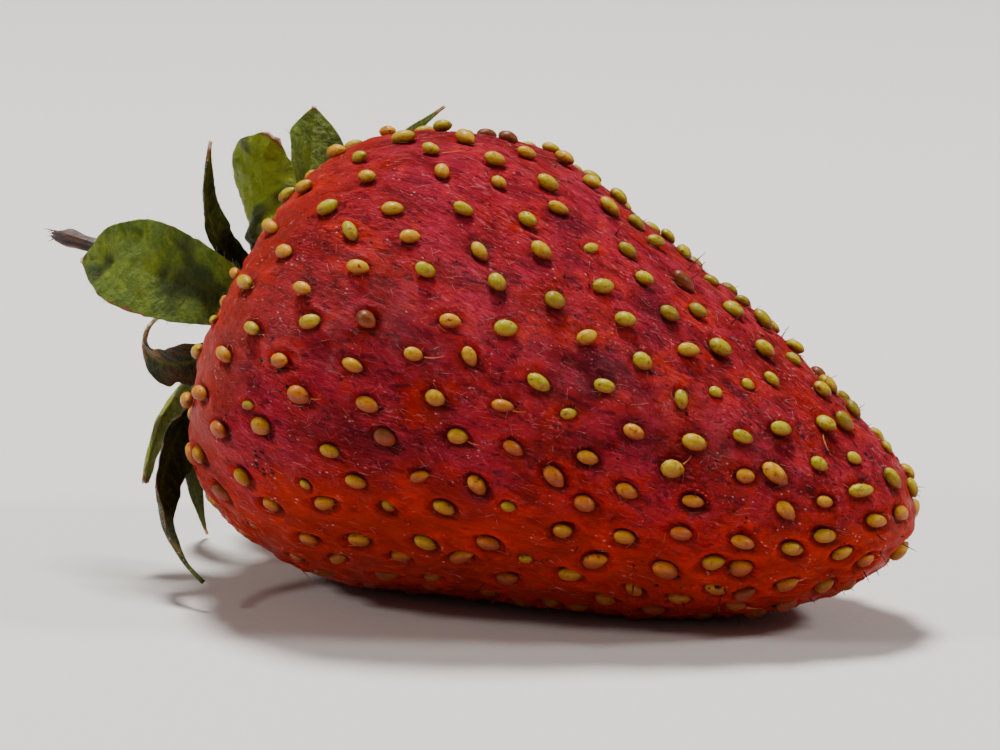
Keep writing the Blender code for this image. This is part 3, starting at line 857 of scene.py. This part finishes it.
# How each leaf grows: angle around the disc from the top, how it bends back to the stalk,
# sways and twists from base to tip, how far it is folded and cupped. Then its looks:
# green (0 dark to 1 light), red, dry share at the tip, ragged edge, quilting, crumpling
# and where it is cut off (1 is a whole tip)
leaves = {
    "sepal_1": dict(angle=18, length=11, width=6.2, blade="broad", bend=(60, 35, 5, -20),
                    sway=(0, -20, -15), twist=(0, 60, 110), fold=8, cup=0.25,
                    green=0.95, red=0.0, dry=0.05, ragged=0.05, quilt=0.17, crumple=0.26,
                    cut=0.97),
    "sepal_2": dict(angle=72, length=15.3, width=6.3, blade="broad",
                    bend=(35, 88, 112, 125), sway=(0, 6, 18), twist=(0, 0, 0), fold=6,
                    cup=0.1, green=0.68, red=0.0, dry=0.04, ragged=0.03, quilt=0.08,
                    crumple=0.34, cut=1.0),
    "sepal_3": dict(angle=150, length=20, width=5, blade="tail", bend=(28, 5, -40, -75),
                    sway=(0, -12, -12), twist=(0, 15, 10), fold=20, cup=0.1,
                    green=0.12, red=0.1, dry=0.0, ragged=0.05, quilt=0.05, crumple=0.16,
                    cut=1.0),
    "sepal_4": dict(angle=222, length=11.5, width=5.5, blade="broad", bend=(25, 25, 22, 20),
                    sway=(0, 0, 0), twist=(0, 0, 0), fold=12, cup=0.15,
                    green=0.55, red=0.0, dry=0.05, ragged=0.04, quilt=0.06, crumple=0.15,
                    cut=1.0),
    "sepal_5": dict(angle=268, length=12.5, width=5.5, blade="broad", bend=(25, 35, 40, 40),
                    sway=(0, 0, 0), twist=(0, 0, 0), fold=12, cup=0.15,
                    green=0.6, red=0.0, dry=0.06, ragged=0.04, quilt=0.06, crumple=0.15,
                    cut=1.0),
    "sepal_6": dict(angle=330, length=13, width=6.3, blade="broad", bend=(40, 15, 22, 28),
                    sway=(0, -10, 0), twist=(0, -20, -60), fold=20, cup=0.0,
                    green=0.65, red=0.0, dry=0.03, ragged=0.03, quilt=0.04, crumple=0.10,
                    cut=1.0),
    "bractlet_1": dict(angle=38, length=12.5, width=2.5, blade="spear",
                       bend=(70, 42, 8, -5), sway=(0, -15, -15), twist=(0, 0, 0), fold=30,
                       cup=0.0, green=0.2, red=0.15, dry=0.10, ragged=0.08, quilt=0.04,
                       crumple=0.08, cut=1.0),
    # bractlet_2's low green and strong red are partly painted shade, as it is seen from its
    # shaded side, and partly its own dried red-brown
    "bractlet_2": dict(angle=124, length=12, width=3.8, blade="tail",
                       bend=(18, 42, 125, 200), sway=(0, 12, 0), twist=(0, 10, 0), fold=10,
                       cup=0.1, green=0.1, red=0.75, dry=0.5, ragged=0.26, quilt=0.05,
                       crumple=0.14, cut=1.0),
    "bractlet_3": dict(angle=162, length=14, width=3.8, blade="narrow",
                       bend=(50, 26, -4, -24), sway=(0, 0, 0), twist=(0, 0, 0), fold=15,
                       cup=0.1, green=0.95, red=0.0, dry=0.05, ragged=0.06, quilt=0.05,
                       crumple=0.10, cut=0.93),
    "bractlet_4": dict(angle=195, length=18.4, width=2.8, blade="narrow",
                       bend=(30, 24, -13, -33), sway=(0, 0, 0), twist=(0, 10, 10), fold=15,
                       cup=0.1, green=0.3, red=0.05, dry=0.05, ragged=0.05, quilt=0.04,
                       crumple=0.10, cut=1.0),
    "bractlet_5": dict(angle=246, length=10, width=2.5, blade="narrow",
                       bend=(45, 50, 55, 60), sway=(0, 0, 0), twist=(0, 0, 0), fold=15,
                       cup=0.1, green=0.4, red=0.1, dry=0.1, ragged=0.06, quilt=0.04,
                       crumple=0.08, cut=1.0),
    "bractlet_6": dict(angle=300, length=21, width=2.8, blade="narrow",
                       bend=(35, 5, -20, -25), sway=(0, 5, 15), twist=(0, 0, 0), fold=15,
                       cup=0.1, green=0.6, red=0.05, dry=0.06, ragged=0.05, quilt=0.04,
                       crumple=0.08, cut=1.0),
}

leafColours = {
    "deep": (0.008, 0.013, 0.0005), "green": (0.065, 0.110, 0.002),
    "light": (0.230, 0.290, 0.006), "vein": (0.26, 0.30, 0.02),
    "red": (0.075, 0.010, 0.002), "brown": (0.20, 0.075, 0.015),
    "cream": (0.68, 0.54, 0.36),
}


def leafFinish():
    # Deep, mid and light green by the leaf's tone and two noises, then paler veins, painted
    # shade in the dips, a red cast, and a brown and cream dry tip
    c = leafColours
    finish, tree, shader, place = newFinish("leafBlade", {
        "Subsurface Weight": 0.10, "Subsurface Scale": 0.0005,
        "Subsurface Radius": (0.5, 1.0, 0.2), "Sheen Weight": 0.02, "Sheen Roughness": 0.4,
        "Specular IOR Level": 0.22})
    tone, hollowShade, vein, dry, red = (attribute(tree, n)
                                 for n in ("tone", "hollowShade", "vein", "dry", "red"))
    broad = noiseNode(tree, place, 0.55, 5.0, 0.6, 0.4)
    fine = noiseNode(tree, place, 4.2, 4.0, 0.6)
    shade = plus(tree, scaled(tree, broad, 0.9, -0.45), tone)
    shade = plus(tree, shade, scaled(tree, fine, 0.5, -0.25))
    colour = mixColours(tree, between(tree, shade, 0.0, 0.5), c["deep"], c["green"])
    colour = mixColours(tree, between(tree, shade, 0.5, 1.05), colour, c["light"])
    colour = mixColours(tree, times(tree, vein, 0.35), colour, c["vein"])
    # painted shade in the hollows of the crumpled and quilted blade
    colour = mixColours(tree, times(tree, hollowShade, 0.75), colour, c["deep"])
    colour = mixColours(tree, times(tree, red, between(tree, broad, 0.35, 0.6)), colour,
                        c["red"])
    colour = mixColours(tree, between(tree, dry, 0.15, 0.5), colour, c["brown"])
    colour = mixColours(tree, between(tree, dry, 0.55, 0.95), colour, c["cream"])
    tree.links.new(colour, shader.inputs["Base Color"])
    tree.links.new(scaled(tree, fine, 0.3, 0.34), shader.inputs["Roughness"])
    skin = noiseNode(tree, place, 3.2, 5.0, 0.65, 0.3)
    cells = addNode(tree, "TexVoronoi", {"Vector": place, "Scale": 2.1},
                    feature="SMOOTH_F1")
    puffed = mathNode(tree, "SUBTRACT", times(tree, skin, 1.2),
                      times(tree, cells.outputs["Distance"], 0.7))
    tree.links.new(bumpNode(tree, puffed, 0.24), shader.inputs["Normal"])
    return finish


def leafBody(kind, leaf, number):
    # The midline leans, sways and twists as it goes out from the disc. The blade is wide
    # where its outline says, folded along the midrib by h sin(fold) and cupped by h²,
    # with h from -1 to 1 across. Each section is closed: h = cos(phi) and the thickness
    # goes with |sin(phi)|^edgeThinning, so the edges are thin. Veins, quilting, crumpling
    # and a wavy edge lift the whole section
    g, r = leafGrid, leafRelief
    angle = radians(leaf["angle"])
    outward = cos(angle) * upwards - sin(angle) * sideways
    tangent = -sin(angle) * upwards - cos(angle) * sideways
    t = np.linspace(0.0, leaf["cut"], g["rings"])
    bend, sway, twist = (np.radians(through(leaf[k], t))[:, None]
                         for k in ("bend", "sway", "twist"))
    lean = np.cos(bend) * outward - np.sin(bend) * along
    direction = np.cos(sway) * lean + np.sin(sway) * tangent
    side = -np.sin(sway) * lean + np.cos(sway) * tangent
    normal = np.cross(direction, side)
    across = np.cos(twist) * side + np.sin(twist) * normal
    face = -np.sin(twist) * side + np.cos(twist) * normal
    start = hub + outward * whorls[kind]["radius"] - along * whorls[kind]["back"]
    step = leaf["length"] * (t[1] - t[0]) * 0.5 * (direction[1:] + direction[:-1])
    midline = start + np.vstack([np.zeros(3), np.cumsum(step, axis=0)])

    blade = blades[leaf["blade"]]
    growing = np.sin(0.5 * pi * np.minimum(t / blade["widest"], 1.0))
    runningOut = np.clip((t - blade["widest"]) / (1 - blade["widest"]), 0.0, 1.0)
    outline = (blade["base"] + (1 - blade["base"]) * growing) * (
        1 - runningOut ** blade["power"]) ** blade["taper"]
    half = 0.5 * leaf["width"] * np.maximum(outline, 0.06)[:, None]

    phi = np.arange(g["sides"]) / g["sides"] * tau
    h = np.cos(phi)[None, :]
    travelled = (t * leaf["length"])[:, None]
    spot = np.stack(np.broadcast_arrays(travelled, half * h, 10.0 * number), -1)
    edgeSpot = np.stack(np.broadcast_arrays(travelled, 3.0 * np.sign(h),
                                            10.0 * number + 5.0), -1)
    large, small = r["notches"]
    notch = lumpy(edgeSpot, large, 61) + 0.6 * lumpy(edgeSpot, small, 62)
    half = half * (1.0 + leaf["ragged"] * np.abs(h) * notch * rise(t, 0.1, 0.35)[:, None])

    slant = (travelled - r["veinSlant"] * np.abs(half * h)) / r["veinStep"]
    off = (slant - np.round(slant)) * r["veinStep"]
    sideVein = np.exp(-(off / r["veinWidth"]) ** 2)
    midVein = np.exp(-((half * h) / r["midribWidth"]) ** 2)
    fade = (1.0 - np.abs(h) ** 4) * (1.0 - t[:, None] ** 4)
    vein = np.maximum(midVein, r["sideVeinShare"] * sideVein * fade)
    large, small = r["quilts"]
    quilt = lumpy(spot, large, 63) + 0.5 * lumpy(spot, small, 64)
    large, small = r["crumples"]
    crumple = lumpy(spot * (0.7, 1.0, 1.0), large, 65) + 0.4 * lumpy(spot, small, 66)
    wave = np.abs(h) ** 3 * np.sin(travelled * 1.7 + 2.0 * number + 1.5 * np.sign(h))
    lift = (-r["veinDepth"] * vein + leaf["quilt"] * quilt + leaf["crumple"] * crumple
            + r["waveHeight"] * wave) * rise(t, 0.02, 0.2)[:, None]
    lift = lift * np.clip(half, 0.25, 1.0)  # less where the blade is narrow

    fold = radians(leaf["fold"])
    crease = np.sqrt(h**2 + 0.02) - sqrt(0.02)
    thin = np.abs(np.sin(phi)) ** g["edgeThinning"]
    thick = 0.5 * g["thickness"] * np.sign(np.sin(phi)) * thin
    x = half * h * cos(fold)
    z = half * (crease * sin(fold) + leaf["cup"] * h**2) + lift + thick[None, :]
    tipLumps = lumpy(spot * (0.0, 1.0, 1.0), r["tipLumps"], 67)
    forwards = 0.35 * leaf["ragged"] / 0.1 * tipLumps
    forwards = forwards * rise(t / leaf["cut"], 0.8, 1.0)[:, None] * (leaf["cut"] < 1.0)
    points = (midline[:, None] + x[..., None] * across[:, None]
              + z[..., None] * face[:, None] + forwards[..., None] * direction[:, None])
    points = aboveTable(points, 0.02)

    nearTip = 1.0 - (1.0 - (t / leaf["cut"]))[:, None] / max(leaf["dry"], 0.02)
    dry = np.clip(nearTip + 0.35 * quilt, 0.0, 1.0) * (leaf["dry"] > 0.0)
    dry = np.maximum(dry, 0.5 * rise(np.abs(h) + 0.12 * quilt, 0.97, 1.08))
    # hollowShade: painted shade where crumpling and quilting dip the blade
    hollowShade = rise(-crumple * leaf["crumple"] - 0.4 * quilt * leaf["quilt"], 0.02, 0.16)
    shape = points.shape[:2]
    values = {"tone": np.full(shape, leaf["green"]), "red": np.full(shape, leaf["red"]),
              "hollowShade": hollowShade, "vein": vein, "dry": dry}
    values = {k: np.broadcast_to(v, shape)[None] for k, v in values.items()}
    edges = {"points": points[:, [0, g["sides"] // 2]], "away": across, "face": face,
             "direction": direction}
    return points[None], values, edges


def makeLeaves():
    # One blade for each leaf. Their edges are handed on for the hairs
    finish = leafFinish()
    allEdges = []
    for number, (name, leaf) in enumerate(leaves.items()):
        points, values, edges = leafBody(name.split("_")[0], leaf, number)
        makePiece(name + "_blade", closedEnds(points), leafGrid["rings"], leafGrid["sides"],
                  finish, {k: withEnds(v) for k, v in values.items()}, name)
        allEdges.append(edges)
    return allEdges


leafEdges = makeLeaves()

leafHairShape = {"perLeaf": 70, "length": 0.42, "radius": 0.011, "rings": 4, "sides": 3,
                 "seed": 71, "colours": ((0.50, 0.50, 0.38), (0.75, 0.70, 0.60))}


def makeLeafHairs():
    # Fine pale hairs along the edges of every leaf, pointing outwards and to the tip
    d = leafHairShape
    rng = np.random.default_rng(d["seed"])
    roots, headings, bends = [], [], []
    for edges in leafEdges:
        ring = rng.integers(10, leafGrid["rings"] - 1, d["perLeaf"])
        which = rng.integers(0, 2, d["perLeaf"])
        sign = 1.0 - 2.0 * which[:, None]
        roots.append(edges["points"][ring, which])
        ahead = rng.uniform(0.2, 1.2, (d["perLeaf"], 1))
        off = rng.normal(0.0, 0.4, (d["perLeaf"], 1))
        headings.append(unit(sign * edges["away"][ring] + ahead * edges["direction"][ring]
                             + off * edges["face"][ring]))
        bends.append(edges["face"][ring])
    roots, headings, bends = (np.vstack(v) for v in (roots, headings, bends))
    count = len(roots)
    points = hairPoints(roots, headings, bends, d["length"] * rng.uniform(0.4, 1.3, count),
                        np.full(count, d["radius"]), rng.uniform(-0.3, 0.3, count),
                        d["rings"], d["sides"])
    finish = plainFinish("leafHair", *d["colours"], {"Coat Weight": 0.1})
    return makePiece("leafHairs", aboveTable(points), d["rings"], d["sides"], finish)


makeLeafHairs()


discLook = {"rings": 60, "sides": 120, "ribs": 12, "ribHeight": 0.06, "seed": 81}
stalkLook = {"rings": 150, "sides": 40, "ribs": 5, "ribHeight": 0.05, "knotAt": 0.93,
             "darkFrom": 0.55, "darkTo": 0.85, "fibres": 9, "fibreRadius": 0.06,
             "fibreRings": 7, "fibreSides": 6, "seed": 82}
stemColours = {"green": (0.10, 0.16, 0.03), "pale": (0.26, 0.30, 0.10),
               "brown": (0.075, 0.022, 0.010), "purple": (0.022, 0.006, 0.008)}


def stemFinish(name, dark):
    # Green with paler streaks, browner where the streaks are low, by the share dark, and
    # purple and brown where the stem is dead
    c = stemColours
    finish, tree, shader, place = newFinish(name, {
        "Subsurface Weight": 0.08, "Subsurface Scale": 0.0004, "Sheen Weight": 0.12})
    dead = attribute(tree, "dead")
    drawnOut = stretched(tree, place, (0.25, 1.0, 1.0))
    streak = noiseNode(tree, drawnOut, 3.0, 5.0, 0.6, 0.3)
    colour = mixColours(tree, between(tree, streak, 0.38, 0.62), c["green"], c["pale"])
    colour = mixColours(tree, between(tree, streak, 0.62, 0.40, 0.0, dark), colour,
                        c["brown"])
    colour = mixColours(tree, dead, colour, mixColours(
        tree, between(tree, streak, 0.4, 0.6), c["purple"], c["brown"]))
    tree.links.new(colour, shader.inputs["Base Color"])
    tree.links.new(scaled(tree, streak, 0.3, 0.4), shader.inputs["Roughness"])
    tree.links.new(bumpNode(tree, streak, 0.12), shader.inputs["Normal"])
    return finish


def makeDisc():
    # The disc's profile carried round the axis, with a wave of ribs and small lumps
    d = discLook
    corners = discProfile()
    way = np.append(0.0, np.cumsum(np.hypot(*np.diff(corners, axis=0).T)))
    at = np.linspace(0.08, way[-1] - 0.08, d["rings"])
    s = np.interp(at, way, corners[:, 0])
    r = np.interp(at, way, corners[:, 1])
    soft = np.ones(5) / 5.0
    s[2:-2], r[2:-2] = np.convolve(s, soft, "valid"), np.convolve(r, soft, "valid")
    around = np.arange(d["sides"]) / d["sides"] * tau
    ribs = d["ribHeight"] * np.cos(d["ribs"] * around)[None, :] * rise(r, 0.6, 2.0)[:, None]
    r = r[:, None] + ribs
    points = (hub + s[:, None, None] * along
              + (r * np.cos(around))[..., None] * sideways
              + (r * np.sin(around))[..., None] * upwards)
    points = points + 0.05 * lumpy(points, 0.6, d["seed"])[..., None] * unit(points - hub)
    dead = np.broadcast_to(0.25 * rise(-s, 0.8, 1.8)[:, None], points.shape[:2])
    return makePiece("calyx_disc_flesh", closedEnds(points[None]), d["rings"], d["sides"],
                     stemFinish("discGreen", 0.5),
                     {"dead": withEnds(dead[None])}, "calyx_disc")


def makeStalk():
    # A tube along the sagging stalk with five soft ribs and a knot near its torn end,
    # which is uneven and dark. Short fibres hang from the end
    c, d = calyxShape, stalkLook
    t = np.linspace(-0.03, 1.0, d["rings"])
    back = c["discBack"] + c["gap"] + c["stalkLength"] * t
    middle = hub - back[:, None] * along - (c["stalkSag"] * t**2)[:, None] * upwards
    radius = c["stalkRadius"] * (1.0 - 0.15 * t) * (1.0 + 0.5 * rise(-t, -0.06, 0.02))
    swollen = 1.0 + 0.35 * np.exp(-(((t - d["knotAt"]) / 0.05) ** 2))
    around = np.arange(d["sides"]) / d["sides"] * tau
    ribs = d["ribHeight"] * np.cos(d["ribs"] * around)[None, :]
    spot = np.stack(np.broadcast_arrays(
        (back * 0.4)[:, None], 0.6 * np.cos(around)[None], 0.6 * np.sin(around)[None]), -1)
    uneven = 0.09 * lumpy(spot, 0.35, d["seed"]) * rise(t, 0.6, 0.95)[:, None]
    r = (radius * swollen)[:, None] + ribs + uneven + 0.02 * lumpy(spot, 0.2, 83)
    r = r * np.sqrt(np.maximum(1.0 - (t[:, None] / 1.01) ** 40, 0.05))
    points = (middle[:, None] + (r * np.cos(around))[..., None] * sideways
              + (r * np.sin(around))[..., None] * upwards)
    frayed = 0.5 * lumpy(spot * (0.0, 1.0, 1.0), 0.25, 84)
    frayed = frayed * rise(t, d["knotAt"], 1.0)[:, None]
    points = points + frayed[..., None] * along
    dead = np.broadcast_to(rise(t, d["darkFrom"], d["darkTo"])[:, None], points.shape[:2])
    finish = stemFinish("stalkSkin", 0.8)
    makePiece("stalk_skin", closedEnds(points[None]), d["rings"], d["sides"], finish,
              {"dead": withEnds(dead[None])}, "stalk")
    rng = np.random.default_rng(d["seed"])
    count = d["fibres"]
    angle = rng.uniform(0.0, tau, count)[:, None]
    spread = np.cos(angle) * sideways + np.sin(angle) * upwards
    roots = middle[-4] + 0.25 * spread
    heading = unit(-along + 0.35 * spread - 0.25 * upwards)
    bendTo = unit(-upwards + 0.3 * spread)
    length = rng.uniform(0.5, 1.3, count)
    rings, sides = d["fibreRings"], d["fibreSides"]
    fibres = hairPoints(roots, heading, bendTo, length, np.full(count, d["fibreRadius"]),
                        rng.uniform(0.0, 0.6, count), rings, sides)
    return makePiece("tornFibres", fibres, rings, sides, finish,
                     {"dead": 1.0})


makeDisc()
makeStalk()


# The floor's size and the nearest and farthest that the camera sees are in metres. The
# view is from the angle viewAzimuth round from the front, and aims at the middle of the
# fruit plus aimFromFruit
studio = {
    "floorSize": 3.0, "floorCells": 20, "floorColour": (0.80, 0.78, 0.75),
    "floorSecondTone": 0.97, "worldColour": (1.0, 0.97, 0.94, 1.0), "worldStrength": 0.10,
    "viewAzimuth": 22.0, "viewElevation": 12.0, "viewDistance": 260.0, "lens": 144.1,
    "sensorWidth": 36.0, "nearest": 0.01, "farthest": 20.0,
    "aimFromFruit": (-4.2, 0.0, -0.85),
}
lights = {  # places, aims and sizes in millimetres, powers in watts
    "overhead": dict(place=(-150, 175, 810), aim=(0, 0, 10), size=212, power=11.0,
                     colour=(1.0, 0.98, 0.95)),
    "left": dict(place=(-575, -425, 457), aim=(0, 0, 12), size=137, power=2.1,
                 colour=(1.0, 0.97, 0.93)),
    "right": dict(place=(642, 100, 507), aim=(5, 0, 12), size=150, power=2.9,
                  colour=(1.0, 0.98, 0.96)),
}


def makeFloor():
    # A flat square grid at height 0, pale and almost even
    size, cells = studio["floorSize"] / 2.0, studio["floorCells"]
    steps = np.linspace(-size, size, cells + 1)
    x, y = np.meshgrid(steps, steps, indexing="ij")
    points = np.stack([x, y, np.zeros_like(x)], -1).reshape(-1, 3)
    i, j = np.meshgrid(np.arange(cells), np.arange(cells), indexing="ij")
    corner = (i * (cells + 1) + j).ravel()
    faces = np.stack([corner, corner + cells + 1, corner + cells + 2, corner + 1], -1)
    mesh = bpy.data.meshes.new("floor")
    mesh.from_pydata(points.tolist(), [], faces.tolist())
    finish, tree, shader, place = newFinish("paleTable", {"Specular IOR Level": 0.25})
    fibre = noiseNode(tree, place, 1.4, 4.0, 0.6)
    base = studio["floorColour"]
    other = tuple(studio["floorSecondTone"] * v for v in base)
    tree.links.new(mixColours(tree, fibre, base, other), shader.inputs["Base Color"])
    tree.links.new(scaled(tree, fibre, 0.1, 0.7), shader.inputs["Roughness"])
    tree.links.new(bumpNode(tree, fibre, 0.03), shader.inputs["Normal"])
    mesh.materials.append(finish)
    floor = bpy.data.objects.new("floor", mesh)
    bpy.context.scene.collection.objects.link(floor)


def lookAt(thing, place, aim):
    # Stands at place and turns its own -Z to the aim, both in millimetres
    thing.location = Vector(place) * mm
    towards = (Vector(aim) - Vector(place)).normalized()
    thing.rotation_euler = towards.to_track_quat("-Z", "Y").to_euler()


def makeLights():
    # Three soft round lamps and a weak even light from all round
    for name, d in lights.items():
        light = bpy.data.lights.new(name, "AREA")
        light.shape = "DISK"
        light.size = d["size"] * mm
        light.energy = d["power"]
        light.color = d["colour"]
        lamp = bpy.data.objects.new(name, light)
        bpy.context.scene.collection.objects.link(lamp)
        lookAt(lamp, d["place"], d["aim"])
    world = bpy.data.worlds.new("studio")
    world.use_nodes = True
    around = world.node_tree.nodes["Background"].inputs
    around["Color"].default_value = studio["worldColour"]
    around["Strength"].default_value = studio["worldStrength"]
    bpy.context.scene.world = world


def makeCamera():
    # From the aim, back by viewDistance along the direction of the view's two angles
    low, high = (np.array(corner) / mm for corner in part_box("fruit"))
    aim = 0.5 * (low + high) + studio["aimFromFruit"]
    turn, up = radians(studio["viewAzimuth"]), radians(studio["viewElevation"])
    away = np.array([sin(turn) * cos(up), -cos(turn) * cos(up), sin(up)])
    camera = bpy.data.cameras.new("camera")
    camera.lens = studio["lens"]
    camera.sensor_width = studio["sensorWidth"]
    camera.clip_start, camera.clip_end = studio["nearest"], studio["farthest"]
    viewer = bpy.data.objects.new("camera", camera)
    bpy.context.scene.collection.objects.link(viewer)
    lookAt(viewer, aim + studio["viewDistance"] * away, aim)
    bpy.context.scene.camera = viewer


makeFloor()
makeLights()
makeCamera()
print("studio ready")
